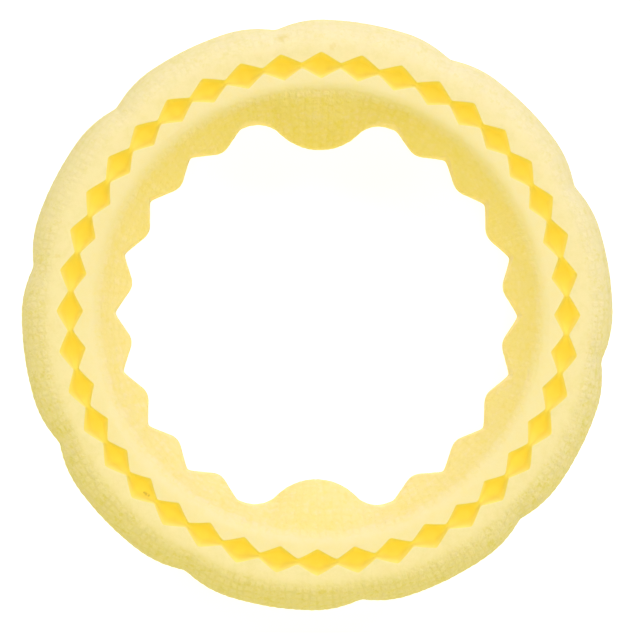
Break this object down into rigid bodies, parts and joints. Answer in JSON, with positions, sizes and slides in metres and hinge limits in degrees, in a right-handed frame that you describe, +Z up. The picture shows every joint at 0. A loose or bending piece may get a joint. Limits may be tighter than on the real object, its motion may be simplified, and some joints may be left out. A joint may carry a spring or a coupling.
{
  "type": "flying ring",
  "caption": "Soft foam flying ring with a lobed rim, a zig-zag groove on both faces, and a toothed inner edge with two grip bulges.",
  "frame": {"origin": "centre of the hole, on the plane of the underside that the ring lies on", "axes": "+Z up through the hole, from the underside to the top face; +Y through the tip of one grip bulge, and the other grip bulge on -Y; +X across the toothed sides"},
  "size_m": [0.17, 0.17, 0.026],
  "materials": {
    "pale_foam": "matt foamed rubber with a fine moulded canvas grain",
    "core_foam": "smooth matt rubber, deeper yellow"
  },
  "bodies": {
    "root": {"outer_band": "pale_foam", "inner_band": "pale_foam", "core_ring": "core_foam"}
  },
  "joints": []
}
